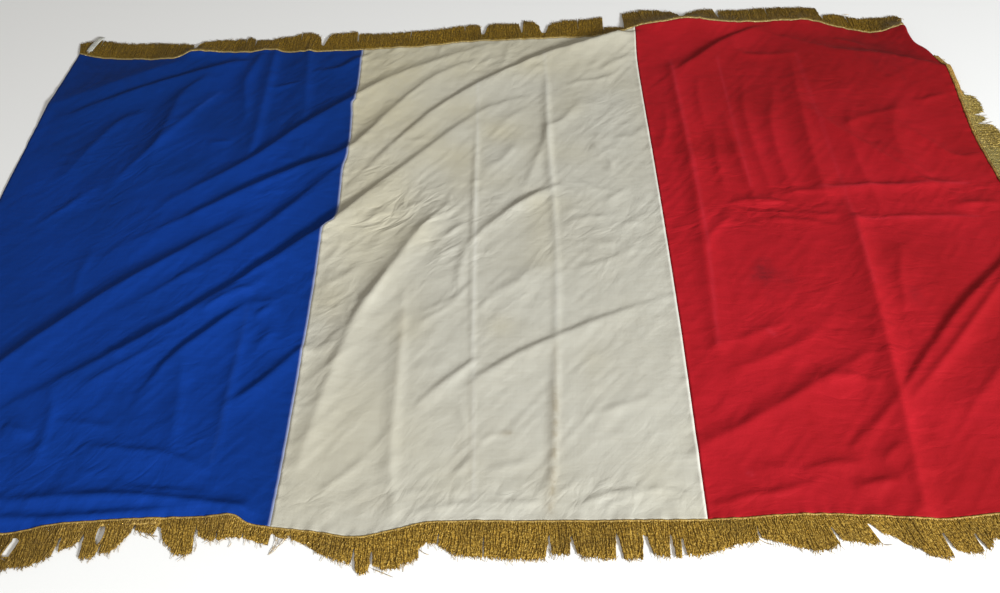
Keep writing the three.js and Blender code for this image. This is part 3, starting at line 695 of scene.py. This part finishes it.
# Locks of cords as (start, end, tips): where they leave the cloth's edge, and a line through their
# tips. Positions along an edge are u on the bottom and top, and v on the fly.
fringes = {
    "bottom": {
        "span": (-6, 1500), "outward": (0, -1), "seed": 5,
        "locks": [
            (-6, 60, [(-12, -48), (54, -51)]), (60, 130, [(58, -52), (124, -47)]),
            (130, 192, [(130, -48), (188, -50)]),
            (192, 262, [(200, -49), (218, -46), (232, -45), (246, -39), (256, -30)]),
            (262, 288, [(262, -27), (275, -20), (283, -14)]),
            (288, 312, [(288, -36), (300, -37), (306, -31)]),
            (312, 343, [(309, -31), (320, -30), (328, -24), (340, -3)]),
            (343, 372, [(344, -1), (352, -4), (366, -8)]),
            (372, 412, [(378, -14), (388, -24), (396, -34), (408, -35), (416, -31)]),
            (412, 440, [(418, -8), (428, -16), (438, -18)]), (440, 470, [(440, -18), (455, -13), (468, -15)]),
            (470, 502, [(470, -14), (484, -19), (500, -25)]), (502, 524, [(508, -14), (520, -17)]),
            (524, 598, [(526, -18), (545, -26), (562, -38), (580, -46), (596, -50)]),
            (598, 618, [(601, -56), (610, -64), (616, -58)]),
            (618, 668, [(620, -52), (632, -58), (646, -58), (658, -52), (671, -45)]),
            (668, 692, [(668, -37), (677, -26), (690, -28)]),
            (692, 742, [(692, -29), (702, -37), (716, -44), (741, -47)]),
            (742, 816, [(743, -46), (775, -50), (811, -50)]),
            (816, 838, [(818, -44), (826, -46), (838, -45)]),
            (838, 890, [(847, -46), (860, -49), (888, -52)]), (890, 921, [(897, -52), (917, -52)]),
            (921, 950, [(929, -46), (947, -51)]), (950, 961, [(954, -50), (960, -50)]),
            (961, 1045, [(966, -49), (980, -50), (1000, -45), (1024, -37), (1046, -34)]),
            (1045, 1122, [(1050, -30), (1064, -34), (1084, -41), (1104, -47), (1120, -47), (1134, -40)]),
            (1122, 1165, [(1138, -36), (1158, -38), (1170, -42), (1178, -38)]),
            (1165, 1205, [(1184, -28), (1196, -30), (1206, -40), (1217, -48)]),
            (1205, 1242, [(1221, -50), (1228, -56), (1242, -60), (1252, -57)]),
            (1242, 1275, [(1256, -48), (1268, -54), (1286, -54)]),
            (1275, 1335, [(1292, -52), (1302, -34), (1318, -46), (1346, -52)]),
            (1335, 1410, [(1348, -50), (1380, -54), (1414, -48)]), (1410, 1462, [(1418, -50), (1474, -52)]),
            (1462, 1500, [(1478, -52), (1530, -42)]),
        ],
    },
    "top": {
        "span": (-6, 1474), "outward": (0, 1), "seed": 6,
        "locks": [
            (-6, 30, [(-14, 1022), (4, 1028), (26, 1030)]),
            (30, 100, [(28, 1029), (50, 1022), (80, 1015), (100, 1014)]),
            (100, 205, [(100, 1014), (140, 1013), (180, 1008), (203, 1004)]),
            (205, 300, [(212, 1003), (222, 1013), (250, 1016), (298, 1015)]),
            (300, 318, [(300, 1017), (305, 1023), (315, 1014)]),
            (318, 400, [(318, 1013), (345, 1010), (360, 1017), (385, 1020), (398, 1028)]),
            (400, 442, [(400, 1030), (412, 1030), (425, 1026), (436, 1010)]),
            (442, 505, [(450, 1008), (456, 1023), (480, 1027), (502, 1028)]),
            (505, 600, [(507, 1020), (550, 1018), (600, 1022)]),
            (600, 700, [(602, 1022), (650, 1025), (698, 1035)]),
            (700, 732, [(700, 1036), (722, 1037), (727, 1028)]),
            (732, 805, [(740, 1026), (746, 1035), (760, 1038), (798, 1035)]),
            (805, 842, [(806, 1041), (812, 1043), (824, 1040), (834, 1025)]),
            (842, 905, [(852, 1022), (862, 1032), (880, 1040), (905, 1041)]),
            (905, 950, [(907, 1041), (930, 1042), (952, 1047)]), (950, 990, [(953, 1012), (986, 1010)]),
            (990, 1045, [(988, 1054), (1000, 1060), (1028, 1066), (1045, 1063)]),
            (1045, 1095, [(1046, 1063), (1062, 1060), (1080, 1055), (1090, 1046)]),
            (1095, 1160, [(1104, 1045), (1112, 1051), (1130, 1058), (1156, 1060)]),
            (1160, 1250, [(1165, 1051), (1172, 1055), (1200, 1053), (1250, 1057)]),
            (1250, 1345, [(1252, 1057), (1310, 1055), (1342, 1049)]),
            (1345, 1390, [(1350, 1026), (1370, 1027), (1386, 1020)]),
            (1390, 1474, [(1390, 1018), (1410, 1008), (1450, 1011), (1478, 1013), (1486, 1004)]),
        ],
    },
    "fly": {
        "span": (-2, 870), "outward": (1, 0), "seed": 7,
        "locks": [
            (-2, 30, [(1536, -30), (1548, -14), (1553, 16)]), (30, 100, [(1554, 24), (1551, 94)]),
            (100, 180, [(1551, 98), (1554, 176)]), (180, 250, [(1554, 180), (1550, 246)]),
            (250, 330, [(1551, 252), (1555, 328)]), (330, 400, [(1554, 332), (1550, 398)]),
            (400, 480, [(1552, 402), (1555, 478)]), (480, 560, [(1555, 482), (1553, 558)]),
            (560, 640, [(1553, 561), (1549, 638)]), (640, 692, [(1549, 641), (1547, 674), (1540, 690)]),
            (692, 715, [(1524, 695), (1536, 704), (1535, 711)]),
            (715, 768, [(1526, 718), (1540, 725), (1541, 750), (1535, 767)]),
            (768, 858, [(1524, 771), (1522, 805), (1521, 856)]), (858, 868, [(1520, 868), (1512, 882)]),
        ],
    },
}
# Holes worn through the skirts: (u, v, half width, half length, lean).
fringeHoles = [(206, -21, 5.5, 14, 0.45), (306, -6, 5, 13, 0.1)]
cord = {"pitch": 1.9, "thick": 1.6, "steps": 9, "layers": 2, "root": 2, "clump": 7, "inset": 1.3, "twist": 55}
headingMake = {"across": [-1.0, -0.3, 0.6, 1.5, 2.3, 3.0, 7.0], "lift": [0.5, 1.2, 1.6, 1.2, 0.5, 0.1, 0.0],
               "step": 2.5, "thickness": 0.7}
# How far cords stray from straight, in millimetres.
stray = {"wander": 0.45, "swing": 2, "curl": 1.2, "jitter": 0.55, "bump": 0.3}


def edgePlace(name, position):
    # the cloth's edge at a position along it
    if name != "fly":
        return position, outline[name](position)
    level = position / clothMake["height"]
    for _ in range(4):
        u = outline["fly"](level * clothMake["height"])
        level = (position - outline["bottom"](u)) / (outline["top"](u) - outline["bottom"](u))
    return u, position


def makeCords(name, routes, thick, material):
    # many cords as one mesh, each a thin tube along its route that twists as it goes
    curve = bpy.data.curves.new(name, "CURVE")
    curve.dimensions = "3D"
    curve.bevel_depth = thick / 2 * mm
    curve.bevel_resolution = 0
    curve.use_fill_caps = True
    for route in routes:
        spline = curve.splines.new("POLY")
        spline.points.add(len(route) - 1)
        spline.points.foreach_set("co", np.column_stack([place(*route.T), np.ones(len(route))]).ravel())
        spline.points.foreach_set("tilt", np.arange(len(route)) * math.radians(cord["twist"]))
        spline.points[-1].radius = 0.55
    piece = bpy.data.objects.new(name, curve)
    bpy.context.collection.objects.link(piece)
    pick(piece)
    bpy.ops.object.convert(target="MESH")
    piece = bpy.context.object
    piece.data.materials.append(material)
    return piece


def aroundHoles(u, v):
    # cords part round the holes worn through the skirt; rows run down the cords, one column for each
    for holeU, holeV, width, length, lean in fringeHoles:
        middle = np.take_along_axis(u, np.abs(v - holeV).argmin(0)[None], 0)
        side = np.where(middle >= holeU, 1, -1)
        axis = holeU + lean * (v - holeV)
        off = (u - axis) * side
        opening = width * np.sqrt(np.clip(1 - ((v - holeV) / length) ** 2, 0, 1))
        parted = opening + 0.2 * np.maximum(off, 0)
        u = np.where(opening > 0, axis + side * np.maximum(off, parted), u)
    return u


def tipSpots(tipLine, at):
    # spots on a lock's tip line, at shares of its length
    tips = np.array(tipLine, float)
    run = np.concatenate([[0], np.cumsum(np.hypot(*np.diff(tips, axis=0).T))])
    return np.column_stack([np.interp(at, run / run[-1], tips[:, i]) for i in range(2)])


def fringeRoutes(name, fringe):
    random = np.random.default_rng(fringe["seed"])
    share = np.linspace(0, 1, cord["steps"] + 1)
    outU, outV = fringe["outward"]
    roots, tips, layers, slacks = [], [], [], []
    for layer in range(cord["layers"]):
        for start, end, tipLine in fringe["locks"]:
            count = max(2, round((end - start) / cord["pitch"]))
            at = (np.arange(count) + random.uniform(0.2, 0.8, count)) / count
            clumps = np.round((at * (end - start)) / cord["clump"]) * cord["clump"] / (end - start)
            inset = cord["inset"] / (end - start)
            gathered = np.clip(at + (clumps - at) * random.uniform(0, 0.3), inset, 1 - inset)
            tip = tipSpots(tipLine, gathered)
            rootU, rootV = edgePlace(name, start + (end - start) * at)
            roots.append(np.column_stack([rootU + outU * cord["root"], rootV + outV * cord["root"]]))
            tips.append(tip)
            layers.append(np.full(count, layer))
            slacks.append(np.clip(np.minimum(at, 1 - at) * (end - start) / 8, 0.2, 1))
    roots, tips = np.vstack(roots), np.vstack(tips)
    layers, slacks = np.concatenate(layers), np.concatenate(slacks)
    inner = 3.5
    rootHeight = clothHeight(roots[:, 0] - outU * inner, roots[:, 1] - outV * inner) + 1.3
    routes = []
    for root, tip, high, layer, slack in zip(roots, tips, rootHeight, layers, slacks):
        ragged = random.choice([random.normal(1, 0.03), random.normal(0.93, 0.07)], p=[0.75, 0.25])
        tip = root + (tip - root) * np.clip(ragged, 0.7, 1.04)
        wander = np.cumsum(random.normal(0, stray["wander"], len(share)))
        sway = random.normal(0, stray["swing"]) * np.sin(math.pi * share) + (wander - wander[0]) * share
        curl = random.normal(0, stray["curl"]) * np.sin(share * random.uniform(7, 16) + random.uniform(0, 6))
        sway = sway + curl * share
        sway = sway * slack + random.normal(0, stray["jitter"], len(share)) * (share > 0)
        u = root[0] + (tip[0] - root[0]) * share**1.15 + sway * abs(outV)
        v = root[1] + (tip[1] - root[1]) * share + sway * abs(outU)
        lowest = cord["thick"] / 2 + 0.5 + 0.7 * layer
        drop = (1 - share) ** 1.7
        bumps = 0.5 * np.abs(np.cumsum(random.normal(0, stray["bump"], len(share))))
        z = lowest + (high + 0.4 * layer - lowest) * drop + bumps
        routes.append(np.column_stack([u, v, np.maximum(z, cord["thick"] / 2)]))
    routes = np.stack(routes)
    if name == "bottom":
        routes[:, :, 0] = aroundHoles(routes[:, :, 0].T, routes[:, :, 1].T).T
    return routes


def goldFinish(name, look):
    # metal thread: painted glints as bright specks over dull gold, with tarnished patches and painted shade
    # towards the hoist
    finish = Finish(name, {"Specular IOR Level": 0.4})
    here = finish.place()
    streaks = finish.noise(finish.place(scale=look["streaks"]), 1, 3, 0.6)
    specks = finish.noise(here, 560, 2, 0.7)
    grains = finish.noise(here, 300, 3, 0.6)
    patches = finish.noise(here, 14, 4, 0.6)
    # painted shade: the gold is darker towards the hoist end
    paintedHoistShade = 1 - finish.node("ShaderNodeSeparateXYZ", {}, {"Vector": here}, "X").between(-0.75, -0.2)
    paintedGlints = specks.between(0.55, 0.68)
    tone = streaks * 0.1 + specks * 0.5 + grains * 0.4
    body = finish.mix(tone.between(0.42, 0.58), look["dark"], look["gold"])
    # painted glints: bright specks mixed into the colour
    body = finish.mix(paintedGlints * 0.8, body, look["paintedGlintColour"])
    tarnishAndHoistShade = patches.between(0.42, 0.68) * 0.4 + paintedHoistShade * look["tarnishAndHoistShade"]
    body = finish.mix(tarnishAndHoistShade, body, look["tarnish"])
    skin = finish.bump(specks * 0.5 + grains * 0.5, 0.6, 0.0012)
    return finish.wear(Base_Color=body, Metallic=0.08 + paintedGlints * 0.4, Roughness=0.6 - paintedGlints * 0.2, Normal=skin)


# The top's cords and braid are darker copies of the bottom's gold, as painted shade on the top fringe; each
# look's brightest colour is painted glints, and its last number is painted shade towards the hoist.
goldLooks = {
    "bottomCords": {"streaks": (480, 90, 200), "dark": (0.13, 0.070, 0.005), "gold": (0.40, 0.235, 0.026),
                    "paintedGlintColour": (0.95, 0.68, 0.18), "tarnish": (0.10, 0.055, 0.006), "tarnishAndHoistShade": 0.75},
    "topCords": {"streaks": (480, 90, 200), "dark": (0.10, 0.055, 0.002), "gold": (0.30, 0.170, 0.006),
                 "paintedGlintColour": (0.60, 0.40, 0.05), "tarnish": (0.10, 0.060, 0.004), "tarnishAndHoistShade": 0.4},
    "flyCords": {"streaks": (90, 480, 200), "dark": (0.10, 0.065, 0.008), "gold": (0.26, 0.175, 0.025),
                 "paintedGlintColour": (0.60, 0.44, 0.12), "tarnish": (0.16, 0.15, 0.05), "tarnishAndHoistShade": 0},
    "bottomBraid": {"streaks": (420, 420, 420), "dark": (0.26, 0.15, 0.02), "gold": (0.55, 0.36, 0.08),
                    "paintedGlintColour": (0.92, 0.70, 0.30), "tarnish": (0.30, 0.20, 0.06), "tarnishAndHoistShade": 0.3},
    "topBraid": {"streaks": (420, 420, 420), "dark": (0.18, 0.12, 0.03), "gold": (0.36, 0.26, 0.09),
                 "paintedGlintColour": (0.70, 0.55, 0.26), "tarnish": (0.22, 0.17, 0.07), "tarnishAndHoistShade": 0.3},
    "flyBraid": {"streaks": (420, 420, 420), "dark": (0.24, 0.12, 0.02), "gold": (0.46, 0.27, 0.06),
                 "paintedGlintColour": (0.80, 0.55, 0.20), "tarnish": (0.26, 0.15, 0.05), "tarnishAndHoistShade": 0},
}
goldFinishes = {name: goldFinish(name, look) for name, look in goldLooks.items()}


def makeHeading(name, fringe):
    # woven tape: a raised braid beside the cloth, then a flat band that the cords hang from
    start, end = fringe["span"]
    along = np.arange(start, end + headingMake["step"] / 2, headingMake["step"])
    across = np.array(headingMake["across"])
    bpy.ops.mesh.primitive_grid_add(x_subdivisions=len(along) - 1, y_subdivisions=len(across) - 1, size=2)
    piece = bpy.context.object
    piece.name = piece.data.name = name + "_braid"
    outU, outV = fringe["outward"]
    edgeU, edgeV = edgePlace(name, along)
    edgeHeight = clothHeight(edgeU - outU * 1.5, edgeV - outV * 1.5)
    ribs = 0.28 * np.sin(along * math.pi / headingMake["step"] + 0.6)
    rows = []
    for offset, lift in zip(across, headingMake["lift"]):
        rows.append(np.column_stack([edgeU + outU * offset, edgeV + outV * offset,
                                     edgeHeight + lift + ribs * (0 < offset < 3)]))
    grid = np.concatenate(rows)
    piece.data.vertices.foreach_set("co", place(*grid.T).ravel())
    pick(piece)
    if name != "top":
        piece.data.flip_normals()
    thicken(piece, headingMake["thickness"], 1)
    bpy.ops.object.shade_smooth()
    piece.data.materials.append(goldFinishes[name + "Braid"])
    return piece


matMake = {"column": 2.2, "rows": 9, "thick": 0.7, "short": 0.02, "low": 1.3, "joined": 0.4}


def makeFlap(name, root, tip, rootHeight, reach, random):
    # one flap of felt between its root line and its tip line
    rows = max(3, round(matMake["rows"] * np.mean(reach)))
    bpy.ops.mesh.primitive_grid_add(x_subdivisions=len(root) - 1, y_subdivisions=rows, size=2)
    flap = bpy.context.object
    share = np.linspace(0, 1, rows + 1)[:, None] * reach
    u, v = (root[:, i] + (tip[:, i] - root[:, i]) * share for i in range(2))
    bumps = np.abs(random.normal(0, 0.25, u.shape))
    z = matMake["low"] + (rootHeight - matMake["low"]) * (1 - share) ** 1.7 + bumps
    if name == "bottom":
        u = aroundHoles(u, v)
    flap.data.vertices.foreach_set("co", place(u.ravel(), v.ravel(), z.ravel()).ravel())
    return flap


def makeMat(name, fringe):
    # broken and felted ends under the cords: a ragged flap for each lock, and a strip that joins them
    random = np.random.default_rng(fringe["seed"] + 50)
    outU, outV = fringe["outward"]
    roots, tips, flaps = [], [], []
    for start, end, tipLine in fringe["locks"]:
        columns = max(3, round((end - start) / matMake["column"]))
        at = np.linspace(0, 1, columns + 1)
        tip = tipSpots(tipLine, at)
        root = np.column_stack(np.broadcast_arrays(*edgePlace(name, start + (end - start) * at)))
        rootHeight = clothHeight(root[:, 0] - outU, root[:, 1] - outV) + 0.3
        root = root + np.array([outU, outV]) * cord["root"]
        reach = 1 - matMake["short"] - np.abs(random.normal(0, 0.035, columns + 1))
        flaps.append(makeFlap(name, root, tip, rootHeight, reach, random))
        roots.append(np.column_stack([root, rootHeight]))
        tips.append(tip)
    roots = np.vstack(roots)
    joined = np.full(len(roots), matMake["joined"]) + random.normal(0, 0.05, len(roots))
    flaps.append(makeFlap(name, roots[:, :2], np.vstack(tips), roots[:, 2], joined, random))
    pick(*flaps)
    bpy.ops.object.join()
    mat = bpy.context.object
    if name == "bottom":
        cutHoles(mat)
    if name != "top":
        mat.data.flip_normals()
    thicken(mat, matMake["thick"], 1)
    return mat


def cutHoles(mat):
    bpy.ops.object.mode_set(mode="EDIT")
    bpy.ops.mesh.select_mode(type="FACE")
    bpy.ops.mesh.select_all(action="DESELECT")
    bpy.ops.object.mode_set(mode="OBJECT")
    for face in mat.data.polygons:
        u, v = (face.center[i] / mm + frameOriginOnCloth[i] for i in range(2))
        for holeU, holeV, width, length, lean in fringeHoles:
            across, down = u - holeU - lean * (v - holeV), v - holeV
            face.select |= math.hypot(across / width, down / length) < 1
    bpy.ops.object.mode_set(mode="EDIT")
    bpy.ops.mesh.delete(type="FACE")
    bpy.ops.object.mode_set(mode="OBJECT")


def makeFringe(name, fringe):
    heading = makeHeading(name, fringe)
    enter(heading, name + "_heading")
    finish = goldFinishes[name + "Cords"]
    skirt = makeCords(name + "_cords", fringeRoutes(name, fringe), cord["thick"], finish)
    mat = makeMat(name, fringe)
    mat.data.materials.append(finish)
    pick(skirt, mat)
    bpy.ops.object.join()
    enter(skirt, name + "_skirt")
    return heading, skirt


fringePieces = {name: makeFringe(name, fringe) for name, fringe in fringes.items()}
print("fringe made")


tapeMake = {
    "width": 11,
    "thickness": 0.8,
    "route": [
        (8, 981, 2.6), (10, 992, 3.6), (13, 1004, 5.4), (17, 1020, 5.6), (20, 1032, 4.9), (22, 1041, 3.4),
    ],
}


def tapeFinish():
    finish = Finish("cottonTape", {"Sheen Weight": 0.2, "Specular IOR Level": 0.2})
    rows = finish.threads(finish.place("UV"), "DIAGONAL", 14)
    soil = finish.noise(finish.place(), 120, 4)
    body = finish.mix(soil.between(0.3, 0.75), (0.58, 0.57, 0.50), (0.42, 0.42, 0.38))
    skin = finish.bump(rows * 0.5 + soil, 0.5, 0.0008)
    return finish.wear(Base_Color=body, Roughness=0.78 + soil * 0.15, Normal=skin)


def makeTape():
    route = smoothRoute(tapeMake["route"], 2.5)
    bpy.ops.mesh.primitive_grid_add(x_subdivisions=8, y_subdivisions=len(route) - 1, size=2)
    piece = bpy.context.object
    piece.name = piece.data.name = "tape_end"
    ahead = np.gradient(route[:, :2], axis=0)
    ahead /= np.linalg.norm(ahead, axis=1)[:, None]
    spots = []
    for centre, (du, dv) in zip(route, ahead):
        for side in np.linspace(-0.5, 0.5, 9):
            curl = 0.9 * (2 * side) ** 2
            off = side * tapeMake["width"]
            height = centre[2] - curl + 0.25 * math.sin(centre[1])
            spots.append((centre[0] + dv * off, centre[1] - du * off, height))
    piece.data.vertices.foreach_set("co", place(*np.array(spots).T).ravel())
    pick(piece)
    thicken(piece, tapeMake["thickness"])
    bpy.ops.object.shade_smooth()
    piece.data.materials.append(tapeFinish())
    enter(piece, "hoist_tape")
    return piece


looseThreads = {
    "thick": 0.6,
    "routes": [
        [(346, 4, 2), (353, -2, 2.5), (360, -5, 1.5), (370, -14, 0.6)],
        [(350, 2, 2), (358, -7, 2), (366, -9, 1.2), (372, -9, 0.6)],
        [(348, 0, 2), (352, -7, 1.4), (362, -12, 0.6)],
        [(524, -14, 2), (515, -20, 2), (509, -30, 1), (502, -36, 0.6)],
        [(522, -12, 2), (516, -22, 1.6), (506, -29, 1), (503, -35, 0.6)],
        [(506, -10, 2), (509, -20, 1.6), (505, -30, 0.6)],
        [(412, -2, 2), (416, -14, 2), (419, -22, 1), (418, -30, 0.6)],
        [(668, -30, 2), (676, -38, 1.6), (682, -40, 0.6)],
        [(813, -20, 2), (812, -32, 2), (817, -41, 1), (815, -48, 0.6)],
        [(840, -24, 2), (836, -34, 2), (838, -44, 0.6)],
        [(452, -12, 2), (458, -20, 1.5), (455, -25, 0.6)], [(620, -56, 2), (634, -62, 1.4), (644, -66, 0.6)],
        [(1046, -30, 2), (1054, -36, 1.5), (1061, -37, 0.6)],
        [(1176, -36, 2), (1182, -41, 1), (1190, -40, 0.6)],
        [(282, 1012, 2), (288, 1018, 2), (296, 1019, 0.6)],
        [(1384, 1018, 2), (1391, 1026, 1.5), (1398, 1026, 0.6)],
        [(1522, 716, 2), (1532, 714, 1.6), (1543, 716, 0.6)],
        [(1524, 697, 2), (1534, 694, 1.4), (1546, 699, 0.6)],
    ],
}


def fuzzRoutes():
    # short broken threads that stick out of the skirts' tips
    random = np.random.default_rng(23)
    routes = []
    for name, fringe in fringes.items():
        outU, outV = fringe["outward"]
        for start, end, tipLine in fringe["locks"]:
            tips = np.array(tipLine, float)
            for _ in range(max(4, int((end - start) / 3.2))):
                i = random.integers(len(tips) - 1)
                foot = tips[i] + (tips[i + 1] - tips[i]) * random.uniform(0, 1)
                aim = np.array([outU, outV]) + random.normal(0, 0.55, 2)
                length = random.uniform(3, 9)
                steps = [foot - aim * length * 0.7, foot, foot + aim * length * 0.5]
                steps[2] = steps[2] + random.normal(0, 1.2, 2)
                heights = [2.2, random.uniform(0.8, 3), random.uniform(0.3, 2)]
                routes.append(np.column_stack([steps, heights]))
    return routes


def makeThreads():
    routes = [smoothRoute(route, 4) for route in looseThreads["routes"]] + fuzzRoutes()
    piece = makeCords("loose_threads", routes, looseThreads["thick"], goldFinishes["bottomCords"])
    enter(piece)
    return piece


stitchMake = {"long": 3.0, "gap": 2.0, "thick": 0.4, "inset": 0.9}


def makeStitches():
    # short stitches that hold the headings, each a small dash of thread on the cloth
    random = np.random.default_rng(31)
    routes = []
    for name, fringe in fringes.items():
        outU, outV = fringe["outward"]
        for at in np.arange(*fringe["span"], stitchMake["long"] + stitchMake["gap"]):
            ends = np.array([at, at + stitchMake["long"]]) + random.normal(0, 0.15, 2)
            u, v = edgePlace(name, ends)
            u, v = u - outU * stitchMake["inset"], v - outV * stitchMake["inset"]
            z = clothHeight(u, v) + clothMake["thickness"] + 0.55
            middle = np.array([u.mean(), v.mean(), z.mean() + 0.25])
            routes.append(np.array([(u[0], v[0], z[0]), middle, (u[1], v[1], z[1])]))
    finish = Finish("stitchThread", {"Specular IOR Level": 0.3})
    shade = finish.noise(finish.place(), 300, 2)
    body = finish.mix(shade.between(0.35, 0.65), (0.42, 0.28, 0.09), (0.62, 0.46, 0.22))
    material = finish.wear(Base_Color=body, Roughness=0.5 + shade * 0.2)
    piece = makeCords("edge_stitches", routes, stitchMake["thick"], material)
    enter(piece)
    return piece


tape = makeTape()
threads = makeThreads()
stitches = makeStitches()
print("tape end, threads and stitches made")


def makeFloor():
    bpy.ops.mesh.primitive_plane_add(size=14)
    floor = bpy.context.object
    floor.name = "floor"
    finish = Finish("paleFloor", {"Roughness": 0.9, "Base Color": (0.93, 0.93, 0.925, 1)})
    floor.data.materials.append(finish.material)
    floor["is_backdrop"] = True


lamps = {
    "keyLight": {"place": (2.45, -2.9, 1.5), "aim": (0, -0.05, 0), "size": 0.6, "power": 278,
                 "color": (0.95, 0.98, 1)},
    "fillLight": {"place": (-0.6, -1.5, 2.0), "aim": (-0.1, -0.1, 0), "size": 1.6, "power": 11,
                  "color": (1, 0.96, 0.9)},
}
studio = {"brightness": 0.28, "color": (1, 0.965, 0.9, 1)}


def makeLight():
    for name, lamp in lamps.items():
        bpy.ops.object.light_add(type="AREA", location=lamp["place"])
        light = bpy.context.object
        light.name = name
        light.data.size = lamp["size"]
        light.data.energy = lamp["power"]
        light.data.color = lamp["color"]
        aim = Vector(lamp["aim"]) - Vector(lamp["place"])
        light.rotation_euler = aim.to_track_quat("-Z", "Y").to_euler()
    world = bpy.data.worlds.new("studio")
    world.use_nodes = True
    world.node_tree.nodes["Background"].inputs["Color"].default_value = studio["color"]
    world.node_tree.nodes["Background"].inputs["Strength"].default_value = studio["brightness"]
    bpy.context.scene.world = world
    bpy.context.scene.view_settings.view_transform = "Standard"


makeFloor()
makeLight()
print("floor and light set")

{"cad": [list(corner) for corner in cadBox], "visual": [list(corner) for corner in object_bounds()]}
